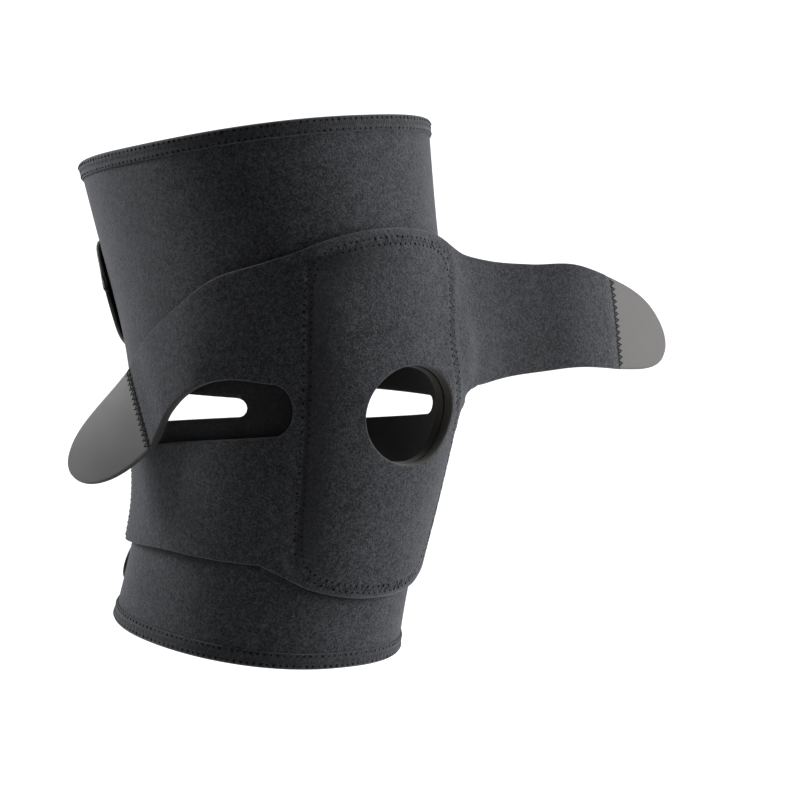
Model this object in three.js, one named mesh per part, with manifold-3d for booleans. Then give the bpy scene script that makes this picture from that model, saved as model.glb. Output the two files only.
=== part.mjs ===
// Wrap-around knee support of foam cloth, in its worn shape: a base wrap with taped edges, a front overlay
// of one panel and four straps, and hook tabs. Both upper straps are peeled open, both lower ones fastened.
// Millimetres, +Z up, the front of the knee towards -Y. The origin is the knee's centre, on the leg's axis.
import * as THREE from "three";
import { mergeVertices } from "three/addons/utils/BufferGeometryUtils.js";
import Module from "manifold-3d";

// Cloths and clearances
const cloth = 3.5; // foam cloth of the base and the overlay
const tape = 0.6; // edge binding
const tabCloth = 1.6; // hook tabs
const gap = 0.6; // between two layers
const foldGap = 0.45; // between a binding and the cloth that it folds over
const seamGap = 0.3; // between a tab and the cloth that it is sewn to, edge to edge

// The worn form is stated in three measures: around the leg from its front, positive towards +X, on a circle
// of measureRadius; along the leg's axis from the knee's centre; and out from the inner face of the base.
const measureRadius = 70;
const thighLean = 15.5; // degrees, backwards
const shinLean = 17; // degrees, backwards
const bendHalf = 60; // half of the axis's length that the knee's bend takes
const legPower = 2.2; // of the superellipse that each cross-section is
const legSections = [
  { along: -120, half: 55, front: 64, back: 62.5 },
  { along: -60, half: 52.5, front: 62.5, back: 62.5 },
  { along: 0, half: 57, front: 73, back: 70 },
  { along: 60, half: 62.5, front: 74, back: 72.5 },
  { along: 125, half: 69, front: 78.5, back: 77.5 },
];
const pull = { height: 4, around: 42, along: 12, aroundSpread: 15, alongSpread: 15 }; // by the raised strap

// Base wrap
const wingEnd = 190; // degrees, past the middle of the back on both sides
const topEdge = { mean: 119, front: -12, right: 4 };
const bottomEdge = { mean: -103.5, front: 7, right: 3 };
const bindingHeight = 7.5;
const lapLift = 6.3; // of the right wing over the left one
const lapStart = 110; // degrees
const lapFull = 165; // degrees
const hole = { around: 6.4, along: -1.6, halfWidth: 24.2, halfHeight: 21.3 };
const slot = { front: 64, along: 0.5, frontHalf: 4, backHalf: 12 };

// Front overlay: the panel between its side seams, and the slit's round root on each side
const panelHalf = 40;
const panelTop = { middle: 57, bow: -4, tilt: 2, drop: 4 }; // at the side seams; the drop is at the right corner
const panelBottom = { middle: -63, bow: 5.2, tilt: 0, drop: 0 };
const slitRoot = { depth: 9, low: -9.3, high: 8.6 };
const panelLift = { start: 18, rate: 0.011, full: 22 }; // of the right side, by the strap, per square mm; full along

// Straps: where the upper edge and the lower edge of each lie, at a share of the strap's run.
// Run 0 is at the slit's root, 1 is the end of the cloth and 1.5 is the tip of its tab.
// Off is measured from the layer in which the fastened overlay lies.
const upperLeftStrap = [
  { run: 0, topAround: -52.5, topAlong: 49.6, topOff: 0, lowAround: -52.5, lowAlong: 8.6, lowOff: 0 },
  { run: 0.25, topAround: -74, topAlong: 47.8, topOff: 0.4, lowAround: -72, lowAlong: 10.5, lowOff: 2.4 },
  { run: 0.5, topAround: -94, topAlong: 41.5, topOff: 0.7, lowAround: -88, lowAlong: 7.3, lowOff: 5.6 },
  { run: 0.75, topAround: -118.5, topAlong: 32.3, topOff: 0.8, lowAround: -103, lowAlong: -2.3, lowOff: 6.6 },
  { run: 1, topAround: -144, topAlong: 18.5, topOff: 0.9, lowAround: -115.5, lowAlong: -19, lowOff: 8 },
  { run: 1.5, topAround: -160, topAlong: -19, topOff: 31, lowAround: -139, lowAlong: -55, lowOff: 29.5 },
];
const upperRightStrap = [
  { run: 0, topAround: 46, topAlong: 50.4, topOff: 8.4, lowAround: 46, lowAlong: 6.5, lowOff: 4.4 },
  { run: 0.25, topAround: 59.5, topAlong: 49.3, topOff: 21, lowAround: 61, lowAlong: 10, lowOff: 22 },
  { run: 0.5, topAround: 67.5, topAlong: 48.5, topOff: 40.5, lowAround: 69, lowAlong: 11.8, lowOff: 43.5 },
  { run: 0.75, topAround: 73, topAlong: 48.3, topOff: 61, lowAround: 74.5, lowAlong: 13.2, lowOff: 64.5 },
  { run: 1, topAround: 81, topAlong: 44.7, topOff: 83.5, lowAround: 82, lowAlong: 12.5, lowOff: 88.5 },
  { run: 1.5, topAround: 93.5, topAlong: 39, topOff: 122, lowAround: 94, lowAlong: 9.6, lowOff: 129 },
];
const lowerRightStrap = [
  { run: 0, topAround: 52.5, topAlong: -9.3, topOff: 0, lowAround: 52.5, lowAlong: -55.2, lowOff: 0 },
  { run: 0.5, topAround: 107, topAlong: -15, topOff: 0, lowAround: 107, lowAlong: -62.5, lowOff: 0 },
  { run: 1, topAround: 162, topAlong: -24, topOff: 0, lowAround: 162, lowAlong: -73.5, lowOff: 0 },
  { run: 1.5, topAround: 204, topAlong: -27.5, topOff: 0, lowAround: 204, lowAlong: -77, lowOff: 0 },
];
const lowerLeftStrap = lowerRightStrap.map((row) => ({
  ...row,
  topAround: -row.topAround,
  lowAround: -row.lowAround,
}));
const tabRun = { start: 1.006, end: 1.5 };
const strapTabTaper = 0.14; // of the width, from the seam to the tip
const tabRound = 3.4; // power that rounds the tip
const tabLast = 0.985; // share of the length at which the tip's edge is closed

// Closure tabs at the back, on the end of the right wing
const thighClosure = { length: 42.5, middle: 66, half: 31, taper: 0.04, tipLift: 0.8 };
const calfClosure = { length: 28, middle: -90.8, half: 11, taper: 0.04, tipLift: 0.2 };

// Facets
const baseFacets = { around: 58, along: 12 };
const overlayFacets = { panel: 6, root: 2, strap: 10, band: 5, slit: 4 }; // panel to strap: on each side
const tabFacets = { length: 7, width: 5, crowding: 1.6 }; // crowding is a power, towards the tip
const holeSides = 40;
const slotEndSides = 8;
const weld = 1e-4; // points closer than this are one
const tau = Math.PI * 2;
const degree = Math.PI / 180;
const wingReach = wingEnd * degree * measureRadius;
const overlayOff = cloth + gap + cloth / 2; // of the overlay's middle face

const wasm = await Module();
wasm.setup();

// Value of one column of a table, on a smooth curve through its rows.
function smooth(rows, by, name, at) {
  const last = rows.length - 1;
  let k = 0;
  while (k < last - 1 && at > rows[k + 1][by]) k += 1;
  const slope = (i) => {
    const [a, b] = [rows[Math.max(i - 1, 0)], rows[Math.min(i + 1, last)]];
    return (b[name] - a[name]) / (b[by] - a[by]);
  };
  const span = rows[k + 1][by] - rows[k][by];
  const x = THREE.MathUtils.clamp((at - rows[k][by]) / span, 0, 1);
  const start = rows[k][name] * (1 - x) ** 2 * (1 + 2 * x) + slope(k) * span * x * (1 - x) ** 2;
  const end = rows[k + 1][name] * x ** 2 * (3 - 2 * x) - slope(k + 1) * span * x ** 2 * (1 - x);
  return start + end;
}

// Point of the leg's axis and the axis's lean there: straight, then an arc, then straight.
function axisAt(along) {
  const bendRadius = (2 * bendHalf) / ((thighLean + shinLean) * degree);
  const inBend = THREE.MathUtils.clamp(along, -bendHalf, bendHalf);
  const lean = -shinLean * degree + (inBend + bendHalf) / bendRadius;
  const middle = -shinLean * degree + bendHalf / bendRadius;
  return {
    lean,
    y: bendRadius * (Math.cos(middle) - Math.cos(lean)) + (along - inBend) * Math.sin(lean),
    z: bendRadius * (Math.sin(lean) - Math.sin(middle)) + (along - inBend) * Math.cos(lean),
  };
}

function onLeg(around, along, off) {
  const turn = around / measureRadius;
  const half = smooth(legSections, "along", "half", along);
  const depth = smooth(legSections, "along", Math.cos(turn) > 0 ? "front" : "back", along);
  const across = Math.abs(Math.sin(turn) / half) ** legPower;
  const deep = Math.abs(Math.cos(turn) / depth) ** legPower;
  const sideways = ((around - pull.around) / pull.aroundSpread) ** 2;
  const upwards = ((along - pull.along) / pull.alongSpread) ** 2;
  const raised = pull.height * Math.exp(-(sideways + upwards) / 2);
  const radius = (across + deep) ** (-1 / legPower) + raised + off;
  const axis = axisAt(along);
  const forward = radius * Math.cos(turn);
  return new THREE.Vector3(
    radius * Math.sin(turn),
    axis.y - forward * Math.cos(axis.lean),
    axis.z + forward * Math.sin(axis.lean),
  );
}

// How far the right wing stands off, so that it clears the left wing under it.
function wingLift(around) {
  return lapLift * THREE.MathUtils.smoothstep(around / measureRadius / degree, lapStart, lapFull);
}

function edgeAlong(edge, around) {
  const turn = around / measureRadius;
  return edge.mean + edge.front * Math.cos(turn) + edge.right * Math.sin(turn);
}

function geometryOf(points, triangles) {
  const flat = triangles.flatMap((corners) => corners.flatMap((k) => points[k].toArray()));
  const geometry = new THREE.BufferGeometry();
  geometry.setAttribute("position", new THREE.Float32BufferAttribute(flat, 3));
  return mergeVertices(geometry, weld);
}

// Closed sheet. Its middle face is a grid of points, whose columns run around and whose rows run up, without
// the cells that isOpen names. It is thickened both ways along the face's normals and walled at its edges.
function sheet({ columns, rows, thickness, place, isOpen = () => false }) {
  const id = (c, r) => c * (rows + 1) + r;
  const middle = [];
  for (let c = 0; c <= columns; c += 1) {
    for (let r = 0; r <= rows; r += 1) middle.push(place(c, r));
  }
  const normals = middle.map(() => new THREE.Vector3());
  const cells = [];
  for (let c = 0; c < columns; c += 1) {
    for (let r = 0; r < rows; r += 1) {
      if (isOpen(c, r)) continue;
      const corners = [id(c, r), id(c + 1, r), id(c + 1, r + 1), id(c, r + 1)];
      const [p, q, s, t] = corners.map((k) => middle[k]);
      const normal = s.clone().sub(p).cross(t.clone().sub(q)).normalize();
      corners.forEach((k) => normals[k].add(normal));
      cells.push(corners);
    }
  }
  normals.forEach((normal) => normal.normalize());
  const face = (side) => middle.map((p, k) => p.clone().addScaledVector(normals[k], (side * thickness) / 2));
  const points = [...face(1), ...face(-1)];
  const inner = middle.length;
  const edges = new Set();
  cells.forEach((corners) => corners.forEach((a, k) => edges.add(`${a},${corners[(k + 1) % 4]}`)));
  const triangles = cells.flatMap(([a, b, c, d]) => [
    [a, b, c],
    [a, c, d],
    [inner + a, inner + c, inner + b],
    [inner + a, inner + d, inner + c],
  ]);
  for (const edge of edges) {
    const [a, b] = edge.split(",").map(Number);
    if (edges.has(`${b},${a}`)) continue;
    triangles.push([a, inner + a, inner + b], [a, inner + b, b]);
  }
  return geometryOf(points, triangles);
}

function solidOf(geometry) {
  const bare = new THREE.BufferGeometry().setAttribute("position", geometry.getAttribute("position"));
  bare.setIndex(geometry.index);
  const merged = mergeVertices(bare, weld);
  return new wasm.Manifold(
    new wasm.Mesh({
      numProp: 3,
      vertProperties: new Float32Array(merged.attributes.position.array),
      triVerts: new Uint32Array(merged.index.array),
    }),
  );
}

function cut(geometry, ...tools) {
  const left = tools.reduce((solid, tool) => solid.subtract(solidOf(tool)), solidOf(geometry));
  const mesh = left.getMesh();
  const result = new THREE.BufferGeometry();
  result.setAttribute("position", new THREE.BufferAttribute(mesh.vertProperties, mesh.numProp));
  return result.setIndex(new THREE.BufferAttribute(mesh.triVerts, 1));
}

// Oval plug along the normal of the kneecap hole.
function kneecapPlug() {
  const reach = 40;
  const oval = new THREE.Shape().absellipse(0, 0, hole.halfWidth, hole.halfHeight, 0, tau);
  const options = { depth: reach, bevelEnabled: false, curveSegments: holeSides };
  const plug = new THREE.ExtrudeGeometry(oval, options);
  plug.translate(0, 0, -reach / 2);
  const centre = onLeg(hole.around, hole.along, 0);
  const out = onLeg(hole.around, hole.along, 1).sub(centre).normalize();
  const side = onLeg(hole.around + 1, hole.along, 0).sub(centre).normalize();
  const up = out.clone().cross(side).normalize();
  return plug.applyMatrix4(new THREE.Matrix4().makeBasis(up.clone().cross(out), up, out).setPosition(centre));
}

// Wedge through both sides of the base, round at its front end and opening towards the back of the knee.
function sideSlotPlug() {
  const reach = 120;
  const front = onLeg(slot.front, slot.along, cloth / 2);
  const bend = front.y + slot.frontHalf;
  const wedge = new THREE.Shape();
  wedge.moveTo(reach, -slot.backHalf);
  wedge.lineTo(reach, slot.backHalf);
  wedge.lineTo(bend, slot.frontHalf);
  wedge.absarc(bend, 0, slot.frontHalf, Math.PI / 2, -Math.PI / 2, false);
  const options = { depth: 2 * reach, bevelEnabled: false, curveSegments: slotEndSides };
  const plug = new THREE.ExtrudeGeometry(wedge, options);
  plug.translate(0, front.z, -reach);
  const [x, y, z] = [[1, 0, 0], [0, 1, 0], [0, 0, 1]].map((axis) => new THREE.Vector3(...axis));
  return plug.applyMatrix4(new THREE.Matrix4().makeBasis(y, z, x));
}

function baseAround(c) {
  return wingReach * ((2 * c) / baseFacets.around - 1);
}

function baseWrap() {
  const fold = tape + foldGap;
  const place = (c, r) => {
    const around = baseAround(c);
    const low = edgeAlong(bottomEdge, around) + fold;
    const high = edgeAlong(topEdge, around) - fold;
    const along = THREE.MathUtils.lerp(low, high, r / baseFacets.along);
    return onLeg(around, along, wingLift(around) + cloth / 2);
  };
  const whole = sheet({ columns: baseFacets.around, rows: baseFacets.along, thickness: cloth, place });
  return cut(whole, kneecapPlug(), sideSlotPlug());
}

// Tape folded over an edge of the base: a channel section carried from one wing's end to the other's.
function binding(edge, upwards) {
  const inside = -foldGap;
  const outside = cloth + foldGap;
  const channel = [
    [inside - tape, -bindingHeight],
    [inside, -bindingHeight],
    [inside, -tape],
    [outside, -tape],
    [outside, -bindingHeight],
    [outside + tape, -bindingHeight],
    [outside + tape, 0],
    [inside - tape, 0],
  ];
  const sides = channel.length;
  const points = [];
  for (let c = 0; c <= baseFacets.around; c += 1) {
    const around = baseAround(c);
    for (const [out, down] of channel) {
      points.push(onLeg(around, edgeAlong(edge, around) + upwards * down, wingLift(around) + out));
    }
  }
  const triangles = [];
  for (let c = 0; c < baseFacets.around; c += 1) {
    for (let k = 0; k < sides; k += 1) {
      const [a, b] = [c * sides + k, c * sides + ((k + 1) % sides)];
      triangles.push([a, a + sides, b + sides], [a, b + sides, b]);
    }
  }
  const section = channel.map(([out, down]) => new THREE.Vector2(out, down));
  for (const [i, j, k] of THREE.ShapeUtils.triangulateShape(section, [])) {
    const far = baseFacets.around * sides;
    triangles.push([i, j, k], [far + i, far + k, far + j]);
  }
  const turned = upwards > 0 ? triangles : triangles.map(([a, b, c]) => [a, c, b]);
  return geometryOf(points, turned);
}

// Place on a strap at a share of its run, from 0 on its lower edge to 1 on its upper edge.
function onStrap(rows, run, rise) {
  const edge = (name) => ({
    around: smooth(rows, "run", `${name}Around`, run),
    along: smooth(rows, "run", `${name}Along`, run),
    off: smooth(rows, "run", `${name}Off`, run),
  });
  return between(edge("low"), edge("top"), rise);
}

// Place at a share of the way from one place to another.
function between(from, to, share) {
  const at = (name) => THREE.MathUtils.lerp(from[name], to[name], share);
  return { around: at("around"), along: at("along"), off: at("off") };
}

function onOverlay({ around, along, off }) {
  return onLeg(around, along, overlayOff + wingLift(around) + off);
}

// Panel and four straps in one sheet. Rows are the lower straps' band, the slit's and the upper straps'.
// Columns are the left straps', the panel's and the right straps', and the slit is open past its round root.
function frontOverlay() {
  const { panel, root, strap, band, slit } = overlayFacets;
  const rootColumn = panel + root;
  const reach = rootColumn + strap;
  const rows = 2 * band + slit;
  const share = (r, start, cells) => THREE.MathUtils.clamp((r - start) / cells, 0, 1);

  const onPanel = (around, r) => {
    const x = around / panelHalf;
    const edge = ({ middle, bow, tilt, drop }) => middle + bow * x ** 2 + tilt * x - drop * Math.max(x, 0) ** 6;
    const [low, high] = [edge(panelBottom), edge(panelTop)];
    const lowerBand = (slitRoot.low - low) * share(r, 0, band);
    const slitBand = (slitRoot.high - slitRoot.low) * share(r, band, slit);
    const upperBand = (high - slitRoot.high) * share(r, band + slit, band);
    const lift = panelLift.rate * Math.max(around - panelLift.start, 0) ** 2;
    const along = low + lowerBand + slitBand + upperBand;
    return { around, along, off: lift * THREE.MathUtils.smoothstep(along, slitRoot.low, panelLift.full) };
  };
  const onSide = (side, run, r) => {
    const upper = side < 0 ? upperLeftStrap : upperRightStrap;
    const lower = side < 0 ? lowerLeftStrap : lowerRightStrap;
    if (r <= band) return onStrap(lower, run, r / band);
    if (r >= band + slit) return onStrap(upper, run, (r - band - slit) / band);
    const turn = Math.PI * share(r, band, slit);
    const place = between(onStrap(lower, 0, 1), onStrap(upper, 0, 0), (1 - Math.cos(turn)) / 2);
    place.around -= side * slitRoot.depth * Math.sin(turn);
    return place;
  };
  const place = (c, r) => {
    const column = c - reach;
    const side = Math.sign(column);
    const steps = Math.abs(column);
    if (steps <= panel) return onOverlay(onPanel((panelHalf * column) / panel, r));
    if (steps >= rootColumn) return onOverlay(onSide(side, (steps - rootColumn) / strap, r));
    return onOverlay(between(onPanel(side * panelHalf, r), onSide(side, 0, r), (steps - panel) / root));
  };
  const isOpen = (c, r) => {
    const inSlit = r >= band && r < band + slit;
    return inSlit && (c < strap || c >= strap + 2 * rootColumn);
  };
  const whole = sheet({ columns: 2 * reach, rows, thickness: cloth, place, isOpen });
  return cut(whole, kneecapPlug());
}

// Tongue with a round tip: share of the half width that is left at a share of the length.
function tongue(x, taper) {
  return (1 - taper * x) * Math.sqrt(1 - x ** tabRound);
}

// Share of a tab's length at one of its columns, which stand closer together towards the tip.
function tabStep(step) {
  return tabLast * (1 - (1 - step / tabFacets.length) ** tabFacets.crowding);
}

// Tab at the end of a strap. A strap on the left runs against the columns, so its steps are counted back.
function strapTab(rows, side) {
  const { length, width } = tabFacets;
  const place = (c, r) => {
    const x = tabStep(side > 0 ? c : length - c);
    const run = THREE.MathUtils.lerp(tabRun.start, tabRun.end, x);
    return onOverlay(onStrap(rows, run, 0.5 + (r / width - 0.5) * tongue(x, strapTabTaper)));
  };
  return sheet({ columns: length, rows: width, thickness: tabCloth, place });
}

// Tab that goes on from the right wing's end over the left wing. It comes down to the cloth under it, and its
// tip may lift.
function closureTab({ length, middle, half, taper, tipLift }) {
  const lowest = cloth + gap + tabCloth / 2;
  const atSeam = lapLift + cloth / 2 - lowest;
  const place = (c, r) => {
    const x = tabStep(c);
    const off = lowest + atSeam * (1 - x) ** 2 + tipLift * x ** 3;
    const across = (2 * r) / tabFacets.width - 1;
    return onLeg(wingReach + seamGap + length * x, middle + half * across * tongue(x, taper), off);
  };
  return sheet({ columns: tabFacets.length, rows: tabFacets.width, thickness: tabCloth, place });
}

const finishes = {
  loopCloth: { color: 0x2b2d31, roughness: 0.95, metalness: 0 },
  edgeTape: { color: 0x1d1e21, roughness: 0.8, metalness: 0 },
  hookTape: { color: 0x5b5a5a, roughness: 0.75, metalness: 0 },
};

const kneeSupport = new THREE.Group();

function addPiece(name, finish, geometry) {
  const mesh = new THREE.Mesh(geometry, new THREE.MeshStandardMaterial(finishes[finish]));
  mesh.name = name;
  kneeSupport.add(mesh);
}

addPiece("base_wrap", "loopCloth", baseWrap());
addPiece("top_binding", "edgeTape", binding(topEdge, 1));
addPiece("bottom_binding", "edgeTape", binding(bottomEdge, -1));
addPiece("front_overlay", "loopCloth", frontOverlay());
addPiece("upper_left_tab", "hookTape", strapTab(upperLeftStrap, -1));
addPiece("upper_right_tab", "hookTape", strapTab(upperRightStrap, 1));
addPiece("lower_left_tab", "hookTape", strapTab(lowerLeftStrap, -1));
addPiece("lower_right_tab", "hookTape", strapTab(lowerRightStrap, 1));
addPiece("thigh_closure_tab", "hookTape", closureTab(thighClosure));
addPiece("calf_closure_tab", "hookTape", closureTab(calfClosure));

export default kneeSupport;
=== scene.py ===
import math

import bpy
import numpy as np
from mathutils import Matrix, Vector


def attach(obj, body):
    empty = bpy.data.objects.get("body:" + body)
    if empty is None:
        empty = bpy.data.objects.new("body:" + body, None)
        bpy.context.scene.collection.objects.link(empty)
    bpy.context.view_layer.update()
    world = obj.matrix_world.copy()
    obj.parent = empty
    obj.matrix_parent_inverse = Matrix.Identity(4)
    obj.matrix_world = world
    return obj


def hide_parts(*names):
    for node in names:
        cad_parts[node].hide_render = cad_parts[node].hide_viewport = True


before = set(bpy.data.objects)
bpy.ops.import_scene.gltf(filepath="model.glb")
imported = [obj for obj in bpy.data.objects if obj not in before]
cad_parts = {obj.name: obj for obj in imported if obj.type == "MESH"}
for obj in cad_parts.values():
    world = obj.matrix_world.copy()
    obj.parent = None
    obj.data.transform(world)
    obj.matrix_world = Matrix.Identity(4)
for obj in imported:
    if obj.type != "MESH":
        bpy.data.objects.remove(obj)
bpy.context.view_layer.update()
mm = 0.001  # the sizes below are millimetres, the meshes are metres
print("frame loaded")

# Camera, three quarters from the front
camera = {
    "azimuth": -38.0, "elevation": 1.1, "distance": 2.0, "lens": 204.5, "sensor": 36.0, "farEnd": 100.0,
    "aimRight": 0.050, "aimUp": 0.0022,
}


def putAimed(made, at, aim):
    made.location = at
    made.rotation_euler = (aim - at).to_track_quat("-Z", "Y").to_euler()
    bpy.context.scene.collection.objects.link(made)


def setCamera(spec):
    turn, rise = math.radians(spec["azimuth"]), math.radians(spec["elevation"])
    back = Vector((math.sin(turn) * math.cos(rise), -math.cos(turn) * math.cos(rise), math.sin(rise)))
    right = Vector((math.cos(turn), math.sin(turn), 0.0))
    up = back.cross(right)
    made = bpy.data.objects.new("camera", bpy.data.cameras.new("camera"))
    made.data.lens = spec["lens"]
    made.data.sensor_width = spec["sensor"]
    made.data.clip_end = spec["farEnd"]
    putAimed(made, back * spec["distance"], right * spec["aimRight"] + up * spec["aimUp"])
    bpy.context.scene.camera = made
    return back, right, up


viewBack, viewRight, viewUp = setCamera(camera)

# The cloth is shaped round a bent form. A place is around it from its front, along its axis from the bend's
# middle, and off the base's inner face. Around is measured on a circle of measureRadius.
form = {
    "measureRadius": 70.0, "upperLean": 15.5, "lowerLean": 17.0, "bendHalf": 60.0, "power": 2.2,
    "along": [-120.0, -60.0, 0.0, 60.0, 125.0],
    "half": [55.0, 52.5, 57.0, 62.5, 69.0],
    "front": [64.0, 62.5, 73.0, 74.0, 78.5],
    "back": [62.5, 62.5, 70.0, 72.5, 77.5],
    "pullHeight": 4.0, "pullAround": 42.0, "pullAlong": 12.0, "pullSpread": 15.0,
    "ripple": 0.22, "longTurns": 3.0, "longWave": 31.0, "longStart": 1.3,
    "shortTurns": 5.0, "shortWave": 19.0, "shortShare": 0.7,
}
layers = {
    "cloth": 3.5, "tape": 0.6, "tabCloth": 1.6, "gap": 0.6, "foldGap": 0.45, "seamGap": 0.3, "slack": 0.01,
}
halfCloth = layers["cloth"] / 2
overlayOff = layers["cloth"] + layers["gap"] + halfCloth


def throughTable(xs, ys, at):
    # cubic Hermite curve through a table's rows, its slopes taken from the rows on both sides
    xs, ys, at = np.asarray(xs), np.asarray(ys), np.asarray(at, float)
    here = np.arange(len(xs))
    before, after = np.maximum(here - 1, 0), np.minimum(here + 1, len(xs) - 1)
    slopes = (ys[after] - ys[before]) / (xs[after] - xs[before])
    k = np.clip(np.searchsorted(xs, at) - 1, 0, len(xs) - 2)
    span = xs[k + 1] - xs[k]
    x = np.clip((at - xs[k]) / span, 0.0, 1.0)
    start = ys[k] * (1 - x) ** 2 * (1 + 2 * x) + slopes[k] * span * x * (1 - x) ** 2
    return start + ys[k + 1] * x ** 2 * (3 - 2 * x) - slopes[k + 1] * span * x ** 2 * (1 - x)


def smoothStep(x):
    x = np.clip(x, 0.0, 1.0)
    return x * x * (3.0 - 2.0 * x)


def onForm(around, along, off):
    # superellipse sections on an axis that is straight, then an arc, then straight, with a bump where the
    # strap pulls and two slow waves
    around, along, off = np.broadcast_arrays(*(np.asarray(v, float) for v in (around, along, off)))
    turn = around / form["measureRadius"]
    low, high = -math.radians(form["lowerLean"]), math.radians(form["upperLean"])
    bendRadius = 2 * form["bendHalf"] / (high - low)
    middle = (low + high) / 2
    inBend = np.clip(along, -form["bendHalf"], form["bendHalf"])
    lean = low + (inBend + form["bendHalf"]) / bendRadius
    axisY = bendRadius * (math.cos(middle) - np.cos(lean)) + (along - inBend) * np.sin(lean)
    axisZ = bendRadius * (np.sin(lean) - math.sin(middle)) + (along - inBend) * np.cos(lean)
    tables = (form["half"], form["front"], form["back"])
    half, front, back = (throughTable(form["along"], table, along) for table in tables)
    depth = np.where(np.cos(turn) > 0, front, back)
    power = form["power"]
    shape = np.abs(np.sin(turn) / half) ** power + np.abs(np.cos(turn) / depth) ** power
    sideways = ((around - form["pullAround"]) / form["pullSpread"]) ** 2
    upwards = ((along - form["pullAlong"]) / form["pullSpread"]) ** 2
    byRaisedStrap = form["pullHeight"] * np.exp(-(sideways + upwards) / 2)
    longWave = np.sin(turn * form["longTurns"] + along / form["longWave"] + form["longStart"])
    shortWave = np.sin(turn * form["shortTurns"] - along / form["shortWave"])
    waves = longWave + shortWave * form["shortShare"]
    radius = shape ** (-1 / power) + byRaisedStrap + off + form["ripple"] * waves
    forward = radius * np.cos(turn)
    places = [radius * np.sin(turn), axisY - forward * np.cos(lean), axisZ + forward * np.sin(lean)]
    return np.stack(places, -1)


def unit(vectors):
    return vectors / np.maximum(np.linalg.norm(vectors, axis=-1, keepdims=True), 1e-9)


def normalsOn(surface, u, v, step=0.01):
    # outward normal of any surface of two parameters, from small steps along both
    du = surface(u + step, v) - surface(u - step, v)
    dv = surface(u, v + step) - surface(u, v - step)
    return unit(np.cross(du, dv))


# Materials


class Wire:  # one socket of a material's nodes
    def __init__(self, tree, out=None):
        self.tree, self.out = tree, out

    def node(self, kind, settings, sockets, give=0):
        made = self.tree.nodes.new("ShaderNode" + kind)
        for name, value in settings.items():
            setattr(made, name, value)
        for name, value in sockets.items():
            if isinstance(value, Wire):
                self.tree.links.new(value.out, made.inputs[name])
            else:
                made.inputs[name].default_value = value
        return Wire(self.tree, made.outputs[give] if len(made.outputs) else None)

    def sum(self, operation, first, second=0.0):
        return self.node("Math", {"operation": operation}, {0: first, 1: second})

    def mix(self, share, first, second):
        colours = {"data_type": "RGBA", "clamp_factor": True}
        return self.node("Mix", colours, {0: share, 6: first, 7: second}, 2)

    def __add__(self, other):
        return self.sum("ADD", self, other)

    __radd__ = __add__

    def __sub__(self, other):
        return self.sum("SUBTRACT", self, other)

    def __rsub__(self, other):
        return self.sum("SUBTRACT", other, self)

    def __mul__(self, other):
        return self.sum("MULTIPLY", self, other)

    __rmul__ = __mul__


def grey(level, warm=0.0):
    return (level * (1 + warm), level, level * (1 - warm), 1.0)


def newMaterial(name):
    made = bpy.data.materials.new(name)
    made.use_nodes = True
    made.node_tree.nodes.clear()
    return made, Wire(made.node_tree)


def shade(wire, sockets):
    wire.node("OutputMaterial", {}, {"Surface": wire.node("BsdfPrincipled", {}, sockets)})


def millimetres(wire):
    place = wire.node("TexCoord", {}, {}, "Object")
    return wire.node("Mapping", {}, {"Vector": place, "Scale": (1 / mm, 1 / mm, 1 / mm)})


def clothPlace(wire):
    return wire.node("UVMap", {"uv_map": "cloth"}, {})


def between(wire, value, low, high):
    # value between low and high, spread over 0 to 1
    spread = {"Value": value, "From Min": low, "From Max": high}
    return wire.node("MapRange", {"interpolation_type": "SMOOTHSTEP"}, spread)


def noise(wire, scale, detail=2.0, roughness=0.5, twist=0.0):
    sockets = {"Vector": millimetres(wire), "Scale": scale, "Detail": detail, "Roughness": roughness}
    return wire.node("TexNoise", {}, {**sockets, "Distortion": twist}, "Fac")


def curls(wire, width, **sizes):
    # thin lines where a twisted noise crosses its middle value
    return 1 - between(wire, wire.sum("ABSOLUTE", noise(wire, **sizes) - 0.5), 0.0, width)


def bands(wire, direction, scale, waver):
    settings = {"wave_type": "BANDS", "bands_direction": direction, "wave_profile": "SIN"}
    sockets = {"Vector": clothPlace(wire), "Scale": scale, "Distortion": waver}
    return wire.node("TexWave", settings, sockets, "Fac")


def hooks(wire, scale, uneven, reach, soft):
    # small rounds on a tight grid
    settings = {"voronoi_dimensions": "2D", "feature": "F1"}
    sockets = {"Vector": clothPlace(wire), "Scale": scale, "Randomness": uneven}
    apart = wire.node("TexVoronoi", settings, sockets, "Distance")
    return between(wire, reach - apart, 0.0, soft)


def weighted(parts, shares):
    return sum(part * share for part, share in zip(parts, shares) if share)


plainSockets = {
    "sheen": "Sheen Weight", "sheenRoughness": "Sheen Roughness", "sheenTint": "Sheen Tint",
    "gloss": "Specular IOR Level",
}


def makeFace(name, spec, paintedShade=None):
    # Shares of the textures give the tone from dark to pale, the height in millimetres, and the roughness,
    # in which the tone has the last share. The last argument gives the share, by place, of painted shade in
    # a darker colour.
    made, wire = newMaterial(name)
    parts = [kind(wire, **sizes) for kind, sizes in spec["textures"]]
    tone = weighted(parts, spec["tone"])
    if "toneSpan" in spec:
        tone = between(wire, tone, *spec["toneSpan"])
    colour = wire.mix(tone, spec["dark"], spec["pale"])
    # painted shade, mixed in by place on the cloth
    if paintedShade:
        place = {0: clothPlace(wire)}
        around, along = (wire.node("SeparateXYZ", {}, place, axis) for axis in (0, 1))
        colour = wire.mix(paintedShade(wire, around, along), colour, spec["paintedShade"])
    rough = spec["rough"] + weighted(parts + [tone], spec["roughBy"])
    raised = {"Strength": spec["bump"], "Distance": mm, "Height": weighted(parts, spec["height"])}
    sockets = {"Base Color": colour, "Roughness": rough, "Normal": wire.node("Bump", {}, raised)}
    fixed = {plainSockets[key]: spec[key] for key in plainSockets if key in spec}
    shade(wire, {**sockets, **fixed})
    return made


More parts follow.
